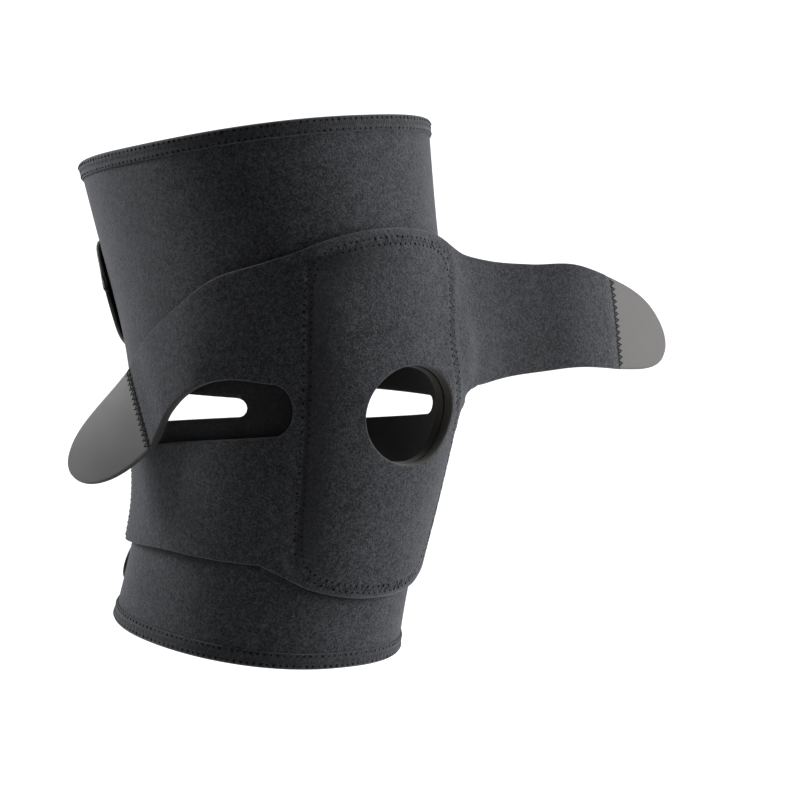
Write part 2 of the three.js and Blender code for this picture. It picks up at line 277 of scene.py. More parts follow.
# Brushed face of curled fibres: pale strands, finer grain between them, small clumps and faint patches
loopFinish = {
    "textures": [
        (curls, {"width": 0.085, "scale": 0.62, "roughness": 0.55, "twist": 0.9}),
        (noise, {"scale": 1.15, "roughness": 0.6}), (noise, {"scale": 0.26}), (noise, {"scale": 0.035}),
    ],
    "tone": (0.26, 0.46, 0.18, 0.16), "toneSpan": (0.246, 0.966), "height": (0.22, 0.22, 0.35), "bump": 0.35,
    "dark": (0.0085, 0.0088, 0.0102, 1.0), "pale": (0.0800, 0.0830, 0.0920, 1.0),
    # the darkest colour below is painted shade, mixed in under the straps, below the overlay and inside the
    # panel's seam
    "paintedShade": (0.0050, 0.0052, 0.0060, 1.0), "rough": 0.86, "roughBy": (0, 0, 0, 0, 0.1),
    "sheen": 0.26, "sheenRoughness": 0.45, "sheenTint": (0.66, 0.69, 0.75, 1.0), "gloss": 0.15,
}
# Smooth jersey with fine wales along the sheet
jerseyLining = makeFace("jerseyLining", {
    "textures": [
        (bands, {"direction": "X", "scale": 0.42, "waver": 0.6}), (noise, {"scale": 0.06, "detail": 3.0}),
    ],
    "tone": (0, 1), "height": (0.12, 0), "bump": 0.5, "dark": grey(0.011), "pale": grey(0.022),
    "rough": 0.74, "roughBy": (0, 0.14), "sheen": 0.08, "sheenRoughness": 0.4, "gloss": 0.25,
})
# Cut foam with fine pores
cutFoam = makeFace("cutFoam", {
    "textures": [(noise, {"scale": 2.2, "detail": 3.0, "roughness": 0.6}), (noise, {"scale": 0.12})],
    "tone": (0.6, 0.4), "height": (0.2, 0), "bump": 0.4, "rough": 0.82, "roughBy": (0.1, 0),
    "dark": grey(0.030, 0.05), "pale": grey(0.064, 0.07), "sheen": 0.1, "gloss": 0.2,
})
# Stretch tape with the cloth's own brushed face, and faint ribs across its length
stretchTape = makeFace("stretchTape", {
    **loopFinish,
    "textures": [
        (bands, {"direction": "X", "scale": 0.36, "waver": 0.8}),
        (noise, {"scale": 0.62, "detail": 3.0, "roughness": 0.6, "twist": 0.6}),
        (noise, {"scale": 1.15, "roughness": 0.6}),
    ],
    "tone": (0.10, 0.55, 0.35), "toneSpan": (0.25, 1.0), "height": (0.05, 0.4, 0.2), "bump": 0.5,
    "rough": 0.82, "roughBy": (0, 0, 0, 0.1),
})
# Smooth grey back: a faint twill and slow changes of tone
tabBack = makeFace("tabBack", {
    "textures": [
        (bands, {"direction": "DIAGONAL", "scale": 0.5, "waver": 0.5}),
        (noise, {"scale": 0.05, "detail": 3.0, "roughness": 0.55}), (noise, {"scale": 1.4}),
    ],
    "tone": (0, 0.7, 0.3), "height": (0.08, 0, 0.06), "bump": 0.4,
    "dark": (0.0455, 0.0425, 0.0420, 1.0), "pale": (0.0720, 0.0675, 0.0665, 1.0),
    "rough": 0.55, "roughBy": (0, 0.12), "sheen": 0.05, "gloss": 0.3,
})
# Rows of small hooks
hookField = makeFace("hookField", {
    "textures": [(hooks, {"scale": 0.8, "uneven": 0.15, "reach": 0.62, "soft": 0.5})],
    "tone": (1,), "height": (0.5,), "bump": 0.7, "dark": grey(0.010), "pale": grey(0.038),
    "rough": 0.80, "roughBy": (-0.3,), "sheen": 0.05, "gloss": 0.35,
})


def threadFace(name, dark, pale, gloss):
    return makeFace(name, {
        "textures": [(noise, {"scale": 3.0})], "tone": (1,), "height": (0.1,), "bump": 0.3,
        "dark": grey(dark), "pale": grey(pale), "rough": 0.65, "roughBy": (0.2,), "gloss": gloss,
    })


greyThread = threadFace("greyThread", 0.012, 0.034, 0.1)
tabThread = threadFace("tabThread", 0.026, 0.046, 0.1)
# black cones at the needle holes: painted shade in the holes
needleHoleShade = threadFace("needleHoleShade", 0.005, 0.012, 0.0)
print("materials made")

# Meshes


def numbered(*shape):
    return np.arange(math.prod(shape)).reshape(shape)


def fullTurn(count):
    return np.arange(count) * 2 * np.pi / count


def putMesh(name, points, faces, uv, materials, slots=None):
    # points and uv are in millimetres; faces is a list of arrays of corner numbers
    mesh = bpy.data.meshes.new(name)
    corners = [row for part in faces for row in part.tolist()]
    mesh.from_pydata((points * mm).tolist(), [], corners)
    layer = mesh.uv_layers.new(name="cloth")
    at = np.empty(len(mesh.loops), np.int32)
    mesh.loops.foreach_get("vertex_index", at)
    layer.data.foreach_set("uv", uv[at].astype(np.float32).ravel())
    for material in materials:
        mesh.materials.append(material)
    if slots is not None:
        mesh.polygons.foreach_set("material_index", slots.astype(np.int32))
    mesh.polygons.foreach_set("use_smooth", np.ones(len(corners), bool))
    mesh.validate()
    mesh.update()
    made = bpy.data.objects.new(name, mesh)
    bpy.context.scene.collection.objects.link(made)
    return made


# Rounded wall of a cut edge, from the face to the back: how far out, and how high in the thickness
edgeWall = {"out": [-0.40, -0.10, 0.0, 0.0, -0.10, -0.40], "level": [0.98, 0.74, 0.28, -0.28, -0.74, -0.98]}


def clothSheet(name, middle, uv, thick, materials, swell=0.0, isOpen=None):
    # A middle face on a grid, thickened both ways along its normals, with a rounded wall at each free edge.
    # swell raises the face alone.
    shape = middle.shape[:2]
    ids = numbered(*shape)
    cells = np.stack([ids[:-1, :-1], ids[1:, :-1], ids[1:, 1:], ids[:-1, 1:]], -1)
    cells = cells.reshape(-1, 4) if isOpen is None else cells[~isOpen]
    flat, uv = middle.reshape(-1, 3), uv.reshape(-1, 2)
    raised = np.broadcast_to(swell, shape).reshape(-1, 1)
    corner = flat[cells]
    facing = unit(np.cross(corner[:, 2] - corner[:, 0], corner[:, 3] - corner[:, 1]))
    normals = np.zeros_like(flat)
    np.add.at(normals, cells.ravel(), np.repeat(facing, 4, axis=0))
    normals = unit(normals)
    starts, ends = cells.ravel(), np.roll(cells, -1, axis=1).ravel()
    total = len(flat)
    free = ~np.isin(starts * total + ends, ends * total + starts)
    a, b = starts[free], ends[free]
    aside = unit(np.cross(flat[b] - flat[a], normals[a] + normals[b]))
    away = np.zeros_like(flat)
    np.add.at(away, a, aside)
    np.add.at(away, b, aside)
    away = unit(away)
    half = thick / 2
    face = flat + normals * (half + raised)
    back = flat - normals * half
    rim = np.unique(a)
    walls = [flat[rim] + away[rim] * out + normals[rim] * (half * level + raised[rim] * (level + 1) / 2)
             for out, level in zip(edgeWall["out"], edgeWall["level"])]
    face[rim], back[rim] = walls[0], walls[-1]
    inner = walls[1:-1]
    firsts = 2 * total + len(rim) * np.arange(len(inner))
    left, right = ([at] + [np.searchsorted(rim, at) + first for first in firsts] + [at + total]
                   for at in (a, b))
    strips = [np.stack([left[k], left[k + 1], right[k + 1], right[k]], -1) for k in range(len(walls) - 1)]
    faces = np.concatenate([cells, cells[:, ::-1] + total] + strips)
    slots = np.repeat([0, 1, 2], [len(cells), len(cells), len(a) * len(strips)])
    points = np.concatenate([face, back] + inner)
    places = np.concatenate([uv, uv] + [uv[rim]] * len(inner))
    used, corners = np.unique(faces, return_inverse=True)
    return putMesh(name, points[used], [corners.reshape(-1, 4)], places[used], materials, slots)


def inBands(row, counts, edges):
    # even rows from one edge to the next, band by band
    place, first = edges[0], 0
    for count, low, high in zip(counts, edges, edges[1:]):
        place = place + (high - low) * np.clip((row - first) / count, 0, 1)
        first += count
    return place


def nearest(values, at):
    return int(np.abs(values - at).argmin())


def edgeAlong(edge, around):
    turn = around / form["measureRadius"]
    return edge["mean"] + edge["front"] * np.cos(turn) + edge["right"] * np.sin(turn)


# Hole, an upright oval seen along the normal at its middle
hole = {
    "around": 6.4, "along": -1.6, "halfWidth": 24.2, "halfHeight": 21.3,
    "firstRise": 0.73, "rounds": 8, "aroundGain": 0.85, "alongGain": 0.7,
}


def holePlace(x, y, off):
    # the place on a layer that lies at x, y in the oval's plane, found by a few corrections of a flat guess
    middle = onForm(hole["around"], hole["along"], 0.0)
    out = unit(onForm(hole["around"], hole["along"], 1.0) - middle)
    side = unit(onForm(hole["around"] + 1.0, hole["along"], 0.0) - middle)
    up = unit(np.cross(out, side))
    side = np.cross(up, out)
    around, along = hole["around"] + x, hole["along"] + y * hole["firstRise"]
    for _ in range(hole["rounds"]):
        seen = onForm(around, along, off) - middle
        around = around + hole["aroundGain"] * (x - seen @ side)
        along = along + hole["alongGain"] * (y - seen @ up)
    return around, along


def openHole(around, along, aroundAt, alongAt, off, centre, inner, outer, grow=0.0):
    # Grid lines in a block round the hole are pushed outwards, so that an inner rectangle of the grid
    # becomes the oval and the block's own edge stays where it is.
    columns, rows = np.indices(around.shape)
    i, j = columns - centre[0], rows - centre[1]
    wide, tall = outer[0] - inner[0], outer[1] - inner[1]
    share = np.maximum((np.abs(i) - inner[0]) / wide, (np.abs(j) - inner[1]) / tall)
    inBlock = (share >= 0) & (share < 1)
    share, i, j = share[inBlock], i[inBlock], j[inBlock]
    a, b = i / (inner[0] + share * wide), j / (inner[1] + share * tall)
    x = (hole["halfWidth"] + grow) * a * np.sqrt(1 - b * b / 2)
    y = (hole["halfHeight"] + grow) * b * np.sqrt(1 - a * a / 2)
    nearAround, nearAlong = holePlace(x, y, off)
    farAround = aroundAt(centre[0] + a * outer[0])
    farAlong = alongAt(farAround, centre[1] + b * outer[1])
    around[inBlock] = nearAround + (farAround - nearAround) * share
    along[inBlock] = nearAlong + (farAlong - nearAlong) * share
    inColumns = np.abs(columns[:-1, :-1] + 0.5 - centre[0]) < inner[0]
    inRows = np.abs(rows[:-1, :-1] + 0.5 - centre[1]) < inner[1]
    return around, along, inColumns & inRows


# Sizes of the overlay, which also place the painted shadow on the base
overlay = {
    "panelHalf": 40.0, "slitDepth": 9.0, "slitLow": -9.3, "slitHigh": 8.6,
    "liftStart": 18.0, "liftRate": 0.011, "liftFull": 22.0,
    "top": {"middle": 57.0, "bow": -4.0, "tilt": 2.0, "drop": 4.0},
    "bottom": {"middle": -63.0, "bow": 5.2, "tilt": 0.0, "drop": 0.0}, "dropPower": 6,
    "panelColumns": 50, "rootColumns": 12, "strapColumns": 70, "lowRows": 46, "slitRows": 14,
    "highRows": 44, "holeCells": (18, 9), "blockCells": (40, 28), "smoothings": 90,
    "strapLength": 100.0, "endThin": 0.9, "endSpread": 3.5,
    "flat": (0.33, 0.15), "area": 0.032,
}

# Base wrap
baseWrap = {
    "wingEnd": 190.0, "lapLift": 6.3, "lapStart": 110.0, "lapFull": 165.0,
    "topEdge": {"mean": 119.0, "front": -12.0, "right": 4.0},
    "bottomEdge": {"mean": -103.5, "front": 7.0, "right": 3.0},
    "slotFront": 64.0, "slotAlong": 0.5, "slotFrontHalf": 4.0, "slotBackHalf": 12.0, "slotReach": 120.0,
    "rootAround": 69.6, "rootDepth": 5.6, "frontHalf": 56.0,
    "wingColumns": 76, "rootColumns": 7, "frontColumns": 58,
    "lowRows": 44, "slotRows": 8, "highRows": 50, "levelRounds": 8,
    "holeCells": (6, 6), "blockCells": (15, 15), "holeGrow": -0.7,
    # painted shade where the straps cover the base, and a painted shadow below the overlay's lower edge:
    # shares and spans
    "coveredShare": 0.78, "coveredAlong": (12.0, 26.0), "coveredAround": (105.0, 140.0),
    "fringeShare": 0.7, "fringe": (0.0, 4.5), "fringeTop": (-42.0, -32.0), "fringeAround": (145.0, 160.0),
    "fringeStart": -48.2, "fringeFall": 0.134,
    "flat": (0.475, 0.245), "area": 0.0945,
}
wingReach = math.radians(baseWrap["wingEnd"]) * form["measureRadius"]


def wingLift(around):
    spec = baseWrap
    degrees = np.degrees(np.asarray(around) / form["measureRadius"])
    return spec["lapLift"] * smoothStep((degrees - spec["lapStart"]) / (spec["lapFull"] - spec["lapStart"]))


def alongAtHeight(around, height, off):
    # where a line of the wrap crosses a level, found by a few steps of the secant rule
    along = np.full(np.shape(around), baseWrap["slotAlong"])
    for _ in range(baseWrap["levelRounds"]):
        miss = height - onForm(around, along, off)[..., 2]
        slope = onForm(around, along + 0.5, off)[..., 2] - onForm(around, along - 0.5, off)[..., 2]
        along = along + miss / slope
    return along


def shadeUnderStraps(wire, around, along):
    # painted shade on the part that lies under the straps, and a painted shadow in a fringe below the
    # overlay's lower edge, which is a parabola under the panel and falls evenly under the straps
    spec, aside = baseWrap, wire.sum("ABSOLUTE", around)
    offAlong = between(wire, wire.sum("ABSOLUTE", along), *spec["coveredAlong"])
    offAround = between(wire, aside, *spec["coveredAround"])
    bottom = overlay["bottom"]
    panelEdge = around * around * (bottom["bow"] / overlay["panelHalf"] ** 2) + bottom["middle"]
    edge = wire.sum("MINIMUM", panelEdge, spec["fringeStart"] - aside * spec["fringeFall"])
    fringe = 1 - between(wire, edge - along, *spec["fringe"])
    for place, span in ((along, "fringeTop"), (aside, "fringeAround")):
        fringe = fringe * (1 - between(wire, place, *spec[span]))
    covered = (1 - offAlong) * (1 - offAround) * spec["coveredShare"]
    return wire.sum("MAXIMUM", covered, fringe * spec["fringeShare"])


def makeBase():
    # Rows run from the lower edge to the slot, over the slot, and on to the upper edge. The slot's edges are
    # two levels that part evenly towards the back, and its front end is a half round.
    spec = baseWrap
    fold = layers["tape"] + layers["foldGap"]
    half, root = spec["frontHalf"], spec["rootAround"]
    breaks = [-wingReach, -root, -half, half, root, wingReach]
    columns = [spec[part + "Columns"] for part in ("wing", "root", "front", "root", "wing")]
    lines = np.interp(np.arange(sum(columns) + 1), np.cumsum([0] + columns), breaks)
    counts = lowRows, slotRows, highRows = [spec[part + "Rows"] for part in ("low", "slot", "high")]
    front = onForm(spec["slotFront"], spec["slotAlong"], halfCloth)
    narrow = spec["slotFrontHalf"]
    bend = front[1] + narrow
    widen = (spec["slotBackHalf"] - narrow) / (spec["slotReach"] - bend)

    def slotEdge(around, side):
        beyond = np.sign(around) * np.maximum(np.abs(around), root)
        off = wingLift(beyond) + halfCloth
        depth = onForm(beyond, spec["slotAlong"], off)[..., 1]
        tall = narrow + np.maximum(depth - bend, 0.0) * widen
        return alongAtHeight(beyond, front[2] + side * tall, off)

    def alongAt(around, row):
        around = np.where(np.abs(around) < 1e-6, 1e-6, around)
        bottom = edgeAlong(spec["bottomEdge"], around) + fold
        top = edgeAlong(spec["topEdge"], around) - fold
        return inBands(row, counts, [bottom, slotEdge(around, -1), slotEdge(around, 1), top])

    def aroundAt(column):
        return np.interp(column, np.arange(len(lines)), lines)

    around, row = np.meshgrid(lines, np.arange(sum(counts) + 1.0), indexing="ij")
    along = alongAt(around, row)
    turn = np.pi * np.clip((row - lowRows) / slotRows, 0, 1)
    share = np.clip((np.abs(around) - half) / (root - half), 0, 1)
    low, high = slotEdge(around, -1), slotEdge(around, 1)
    inSlot = (row > lowRows) & (row < lowRows + slotRows)
    rounded = low + (high - low) * (1 - np.cos(turn)) / 2
    along = np.where(inSlot, along + (rounded - along) * share, along)
    around = np.where(inSlot, around - np.sign(around) * share * spec["rootDepth"] * np.sin(turn), around)
    centre = (nearest(lines, hole["around"]), lowRows + slotRows // 2 - 1)
    cut = (halfCloth, centre, spec["holeCells"], spec["blockCells"], spec["holeGrow"])
    around, along, gone = openHole(around, along, aroundAt, alongAt, *cut)
    pastRoot = np.abs(lines[:-1] + lines[1:])[:, None] / 2 > root
    isOpen = gone | (inSlot[:-1, :-1] | inSlot[1:, 1:]) & pastRoot
    middle = onForm(around, along, wingLift(around) + halfCloth)
    uv = np.stack([around, along], -1)
    # the base's brushed face, with painted shade under the straps and a painted shadow below the overlay
    cloths = [makeFace("baseLoop", loopFinish, shadeUnderStraps), jerseyLining, cutFoam]
    return clothSheet("base_wrap_cloth", middle, uv, layers["cloth"], cloths, 0.0, isOpen)


baseCloth = makeBase()
print("base wrap made")

# Folded tape over the base's two edges
binding = {
    "height": 7.5, "fold": 2.2, "columns": 260, "foldSteps": 16, "wallSteps": 8,
    "pinch": 0.22, "pinchAt": 4.3, "pinchSpread": 2.4, "tuck": 0.38, "tuckSpan": 2.0,
    "flat": (0.475, 0.0215),
}


def bindingPull(below):
    # the seam's rows and the tape's free edge are drawn in, by the way down from the fold
    pinched = binding["pinch"] * np.exp(-((below - binding["pinchAt"]) / binding["pinchSpread"]) ** 2)
    return pinched + binding["tuck"] * smoothStep((below - binding["height"]) / binding["tuckSpan"] + 1)


def makeBinding(name, edge, upwards):
    # A closed section carried along the edge: up the outer wall, over a half-oval fold, down the inner wall,
    # and back inside the fold. The seam's row pulls the outer wall in.
    spec = binding
    tape, wide = layers["tape"], halfCloth + layers["foldGap"]
    over = np.linspace(0.0, np.pi, spec["foldSteps"] + 1)
    down = np.linspace(-spec["height"], -spec["fold"], spec["wallSteps"] + 1)[:-1]
    wall = np.ones(len(down))
    across = np.concatenate([wall, np.cos(over), -wall])
    out = halfCloth + np.concatenate([(wide + tape) * across, -wide * across])
    low = np.concatenate([part for tall in (spec["fold"], spec["fold"] - tape)
                          for part in (down, tall * np.sin(over) - spec["fold"], down[::-1])])
    aside = out - halfCloth
    out = out - bindingPull(-low) * np.sign(aside) * (np.abs(aside) > wide - layers["slack"])
    lines = np.linspace(-wingReach, wingReach, spec["columns"] + 1)[:, None]
    points = onForm(lines, edgeAlong(edge, lines) + upwards * low, wingLift(lines) + out)
    columns, sides = points.shape[:2]
    ids = numbered(columns, sides)
    after = np.roll(ids, -1, axis=1)
    quads = np.stack([ids[:-1], ids[1:], after[1:], after[:-1]], -1).reshape(-1, 4)
    k = np.arange(sides // 2 - 1)
    caps = np.stack([k, k + 1, sides - 2 - k, sides - 1 - k], -1)
    caps = np.concatenate([caps, (caps + (columns - 1) * sides)[:, ::-1]])
    faces = np.concatenate([quads, caps])
    faces = faces if upwards > 0 else faces[:, ::-1]
    run = np.cumsum(np.hypot(np.diff(out, prepend=out[0]), np.diff(low, prepend=low[0])))
    uv = np.stack(np.broadcast_arrays(lines, run[None, :]), -1).reshape(-1, 2)
    return putMesh(name, points.reshape(-1, 3), [faces], uv, [stretchTape])


hems = {"top": (baseWrap["topEdge"], 1), "bottom": (baseWrap["bottomEdge"], -1)}
tapes = {name + "_binding": makeBinding(name + "_binding_tape", *edge) for name, edge in hems.items()}
print("bindings made")

# Front overlay: a panel and four straps. Each strap is a table of its two edges along its run.
upperLeftStrap = {
    "run": [0.0, 0.25, 0.5, 0.75, 1.0, 1.5],
    "topAround": [-52.5, -74.0, -94.0, -118.5, -144.0, -160.0],
    "topAlong": [49.6, 47.8, 41.5, 32.3, 18.5, -19.0], "topOff": [0.0, 0.4, 0.7, 0.8, 0.9, 31.0],
    "lowAround": [-52.5, -72.0, -88.0, -103.0, -115.5, -139.0],
    "lowAlong": [8.6, 10.5, 7.3, -2.3, -19.0, -55.0], "lowOff": [0.0, 2.4, 5.6, 6.6, 8.0, 29.5],
}
upperRightStrap = {
    "run": [0.0, 0.25, 0.5, 0.75, 1.0, 1.5],
    "topAround": [46.0, 59.5, 67.5, 73.0, 81.0, 93.5], "topAlong": [50.4, 49.3, 48.5, 48.3, 44.7, 39.0],
    "topOff": [8.4, 21.0, 40.5, 61.0, 83.5, 122.0],
    "lowAround": [46.0, 61.0, 69.0, 74.5, 82.0, 94.0], "lowAlong": [6.5, 10.0, 11.8, 13.2, 12.5, 9.6],
    "lowOff": [4.4, 22.0, 43.5, 64.5, 88.5, 129.0],
}
lowerRightStrap = {
    "run": [0.0, 0.5, 1.0, 1.5],
    "topAround": [52.5, 107.0, 162.0, 204.0], "topAlong": [-9.3, -15.0, -24.0, -27.5], "topOff": [0.0] * 4,
    "lowAround": [52.5, 107.0, 162.0, 204.0], "lowAlong": [-55.2, -62.5, -73.5, -77.0], "lowOff": [0.0] * 4,
}
lowerLeftStrap = {
    **lowerRightStrap,
    **{name: [-v for v in lowerRightStrap[name]] for name in ("topAround", "lowAround")},
}
straps = {
    "upper_left_tab": (upperLeftStrap, -1), "upper_right_tab": (upperRightStrap, 1),
    "lower_left_tab": (lowerLeftStrap, -1), "lower_right_tab": (lowerRightStrap, 1),
}
# Seam round the panel: its half width by height, its top and bottom by width, and how it shapes the cloth
panelSeam = {
    "half": 39.2, "halfFall": 3.4, "halfAt": -13.0, "halfSpan": 60.0,
    "drawIn": 11.5, "drawInAt": 19.0, "drawInSpread": 24.0,
    "top": 52.6, "topBow": -3.2, "topTilt": 1.6, "bottom": -58.8, "bottomBow": 4.2, "power": 9.0,
    "bowReach": 1.1, "aroundScale": 1.08, "alongScale": 1.25, "corner": 8.0,
    "rim": 2.4, "rimFall": 0.75, "rimFade": 8.0, "wall": 8.0, "groove": 0.55, "grooveSpread": 1.5,
    "pucker": 0.13, "puckerPitch": 4.4, "puckerSpread": 3.0,
    "pitch": 1.5, "width": 3.0, "samples": 1441,
    # painted shade inside the seam's left side and top left corner, and on the raised strap's root
    "bandShare": 0.72, "bandStart": (-0.5, 1.5), "bandEnd": (3.0, 22.0), "bandRight": (-32.0, 8.0),
    "bandLow": (-60.0, -46.0),
    "pulledShare": 0.26, "pulledStart": (36.0, 50.0), "pulledEnd": (70.0, 82.0), "pulledLow": (-4.0, 10.0),
}


def onStrap(strap, run, rise):
    # from 0 on the strap's lower edge to 1 on its upper edge: around, along and off, as one array
    def edge(name):
        rows = (strap[name + part] for part in ("Around", "Along", "Off"))
        return np.stack([throughTable(strap["run"], row, run) for row in rows], -1)
    low, top = edge("low"), edge("top")
    return low + (top - low) * np.asarray(rise)[..., None]


def panelLift(around, along):
    # the raised strap draws the panel's right side up: the square of the way past liftStart, above the slit
    above = smoothStep((along - overlay["slitLow"]) / (overlay["liftFull"] - overlay["slitLow"]))
    return overlay["liftRate"] * np.maximum(around - overlay["liftStart"], 0.0) ** 2 * above


def onOverlay(places):
    around, along, off = np.moveaxis(places, -1, 0)
    return onForm(around, along, overlayOff + wingLift(around) + off)


def seamHalf(along, isRight):
    # half width by height: a shallow parabola, with the right side drawn in beside the raised strap
    spec = panelSeam
    drawn = spec["drawIn"] * np.exp(-((along - spec["drawInAt"]) / spec["drawInSpread"]) ** 2)
    fall = spec["halfFall"] * ((along - spec["halfAt"]) / spec["halfSpan"]) ** 2
    return spec["half"] - fall - drawn * isRight


def seamDistance(around, along):
    # signed distance from the panel's seam, a rectangle with bowed sides and round corners; negative inside
    spec = panelSeam
    half = seamHalf(along, around > 0)
    x = np.clip(around / spec["half"], -spec["bowReach"], spec["bowReach"])
    across = (np.abs(around) - half) * spec["aroundScale"] + spec["corner"]
    above = along - spec["top"] - spec["topBow"] * x ** 2 - spec["topTilt"] * x
    below = spec["bottom"] + spec["bottomBow"] * x ** 2 - along
    upright = np.maximum(above, below) * spec["alongScale"] + spec["corner"]
    outside = np.hypot(np.maximum(across, 0), np.maximum(upright, 0))
    return outside + np.minimum(np.maximum(across, upright), 0) - spec["corner"]


def seamSwell(around, along):
    # the panel's rim stands up along the seam, fades inwards and falls off outside; the stitches press a
    # groove into it, with slanting puckers across it
    spec = panelSeam
    d = seamDistance(around, along)
    rise = np.where(d < 0, np.exp(np.minimum(d, 0) / spec["rimFade"]), 1 - smoothStep(d / spec["wall"]))
    tall = spec["rim"] * (1 - spec["rimFall"] * smoothStep(around / spec["half"]))
    slant = np.sin((around + along) * 2 * np.pi / spec["puckerPitch"])
    puckers = spec["pucker"] * slant * np.exp(-(d / spec["puckerSpread"]) ** 2)
    return tall * rise + puckers - spec["groove"] * np.exp(-(d / spec["grooveSpread"]) ** 2)


def shadeInsideSeam(wire, around, along):
    # painted shade in a band inside the seam's left side and its top left corner, by the lesser distance
    # from the two sides, and painted shade on the root of the raised strap
    spec = panelSeam
    tall = (along - spec["halfAt"]) * (1 / spec["halfSpan"])
    x = around * (1 / spec["half"])
    fromLeft = (around + spec["half"] - tall * tall * spec["halfFall"]) * spec["aroundScale"]
    fromTop = (x * x * spec["topBow"] + x * spec["topTilt"] + spec["top"] - along) * spec["alongScale"]
    inside = wire.sum("MINIMUM", fromLeft, fromTop)
    band = between(wire, inside, *spec["bandStart"]) * (1 - between(wire, inside, *spec["bandEnd"]))
    ends = (1 - between(wire, around, *spec["bandRight"])) * between(wire, along, *spec["bandLow"])
    byRaisedStrap = between(wire, around, *spec["pulledStart"]) * (1 - between(wire, around, *spec["pulledEnd"]))
    byRaisedStrap = byRaisedStrap * between(wire, along, *spec["pulledLow"]) * spec["pulledShare"]
    return wire.sum("MAXIMUM", band * ends * spec["bandShare"], byRaisedStrap)


def makeOverlay():
    # Rows are the lower straps' band, the slit's and the upper straps'. Columns are the left straps', the
    # panel's and the right straps', with straight blends from the panel's sides to the slits' round roots.
    spec = overlay
    counts = lowRows, slitRows, highRows = [spec[part + "Rows"] for part in ("low", "slit", "high")]
    row = np.arange(sum(counts) + 1.0)

    def panelAlong(around, at):
        x = around / spec["panelHalf"]
        corner = np.maximum(x, 0.0) ** spec["dropPower"]
        low, high = (edge["middle"] + edge["bow"] * x ** 2 + edge["tilt"] * x - edge["drop"] * corner
                     for edge in (spec["bottom"], spec["top"]))
        return inBands(at, counts, [low, spec["slitLow"], spec["slitHigh"], high])

    def panelAround(column):
        return column * (spec["panelHalf"] / spec["panelColumns"]) - spec["panelHalf"]

    def sidePlaces(lower, upper, side):
        run = np.linspace(0, 1, spec["strapColumns"] + 1)[:, None]
        low = onStrap(lower, run, np.linspace(0, 1, lowRows + 1)[None, :])
        high = onStrap(upper, run, np.linspace(0, 1, highRows + 1)[None, :])
        turn = np.pi * np.linspace(0, 1, slitRows + 1)[1:-1, None]
        root = low[0, -1] + (high[0, 0] - low[0, -1]) * (1 - np.cos(turn)) / 2
        root[:, 0] -= side * spec["slitDepth"] * np.sin(turn[:, 0])
        root = np.broadcast_to(root, (len(run),) + root.shape)
        return np.concatenate([low, root, high], 1)

    panelLines = np.linspace(-1, 1, 2 * spec["panelColumns"] + 1) * spec["panelHalf"]
    around, at = np.meshgrid(panelLines, row, indexing="ij")
    along = panelAlong(around, at)
    centre = (nearest(panelLines, hole["around"]), nearest(panelAlong(0.0, row), hole["along"]))
    cut = (overlayOff, centre, spec["holeCells"], spec["blockCells"])
    around, along, gone = openHole(around, along, panelAround, panelAlong, *cut)
    panel = np.stack([around, along, panelLift(around, along)], -1)
    left = sidePlaces(lowerLeftStrap, upperLeftStrap, -1)
    right = sidePlaces(lowerRightStrap, upperRightStrap, 1)
    strap, rootColumns = spec["strapColumns"], spec["rootColumns"]
    share = (np.arange(1, rootColumns) / rootColumns)[:, None, None]
    leftRoot = panel[:1] + (left[:1] - panel[:1]) * share
    rightRoot = panel[-1:] + (right[:1] - panel[-1:]) * share
    places = np.concatenate([left[::-1], leftRoot[::-1], panel, rightRoot, right])
    raised = places[-strap - 2 * rootColumns:-strap // 2, lowRows + slitRows:]
    for _ in range(spec["smoothings"]):
        raised[1:-1] = (raised[:-2] + 2 * raised[1:-1] + raised[2:]) / 4
    isOpen = np.zeros((len(places) - 1, sum(counts)), bool)
    slit = slice(lowRows, lowRows + slitRows)
    isOpen[:strap, slit] = isOpen[-strap:, slit] = True
    first = strap + rootColumns
    isOpen[first:first + 2 * spec["panelColumns"]] |= gone
    column = np.arange(len(places))
    toEnd = np.minimum(column, column[::-1]) / strap * spec["strapLength"]
    thinned = spec["endThin"] * np.exp(-(toEnd / spec["endSpread"]) ** 2)[:, None]
    swell = seamSwell(places[..., 0], places[..., 1]) - thinned
    # the overlay's brushed face, with painted shade inside the seam and on the raised strap's root
    cloths = [makeFace("overlayLoop", loopFinish, shadeInsideSeam), jerseyLining, cutFoam]
    middle, uv = onOverlay(places), places[..., :2]
    return clothSheet("front_overlay_cloth", middle, uv, layers["cloth"], cloths, swell, isOpen)


overlayCloth = makeOverlay()
print("overlay made")

# Hook tabs
tab = {
    "start": 1.0, "end": 1.5, "taper": 0.14, "round": 3.4, "last": 0.9994, "columns": 46, "rows": 30,
    "mapLength": 90.0, "mapHalf": 20.0, "flat": (0.046, 0.042),
}
closures = {
    "thigh_closure_tab": {
        "length": 42.5, "middle": 66.0, "half": 31.0, "taper": 0.04, "tipLift": 0.8, "lobes": 1.1,
        "flat": (0.043, 0.064),
    },
    "calf_closure_tab": {
        "length": 28.0, "middle": -90.8, "half": 11.0, "taper": 0.04, "tipLift": 0.2, "lobes": 0.1,
        "flat": (0.029, 0.024),
    },
}
lobe = {"turns": 4.6, "start": 0.4, "lean": 0.4}  # the waves of a closure's tip


def tabGrid():
    # shares of the length, closer together towards the tip, and of the half width
    x = tab["last"] * np.sin(np.linspace(0, np.pi / 2, tab["columns"] + 1))
    return x[:, None], np.linspace(-1, 1, tab["rows"] + 1)[None, :]


def tongue(x, taper):
    # share of the half width that is left at a share of the length
    return (1 - taper * x) * np.sqrt(1 - x ** tab["round"])


def tabSheet(name, middle, first, second):
    uv = np.stack(np.broadcast_arrays(first, second), -1)
    return clothSheet(name + "_tape", middle, uv, layers["tabCloth"], [tabBack, hookField, tabBack])


